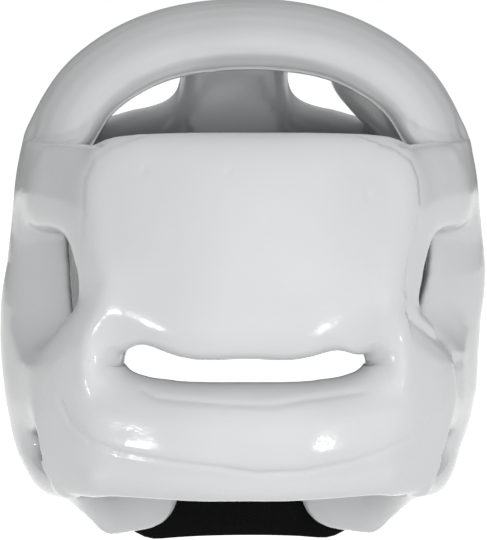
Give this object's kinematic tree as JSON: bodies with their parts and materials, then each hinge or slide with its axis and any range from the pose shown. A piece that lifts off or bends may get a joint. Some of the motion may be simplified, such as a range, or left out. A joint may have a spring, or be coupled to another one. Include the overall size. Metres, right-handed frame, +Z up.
{
  "type": "open-face boxing headgear",
  "caption": "Open-face dipped-foam sparring headgear with an open crown under an arch and front bridge, a raised back panel over a nape slit, side vents and a wide fastened chin strap.",
  "frame": {"origin": "underside of the crown arch on the middle plane, where the top of the wearer's head seats", "axes": "+Z up, +Y forwards out of the face opening, +X towards the wearer's right"},
  "size_m": [0.2362, 0.2495, 0.2836],
  "materials": {
    "dipped_foam": "gloss vinyl dip over closed-cell foam",
    "strap_webbing": "matt woven",
    "hook_tape": "matt hook tape"
  },
  "bodies": {
    "root": {"foam_shell": "dipped_foam", "chin_strap": "strap_webbing", "strap_patch": "hook_tape"}
  },
  "joints": []
}
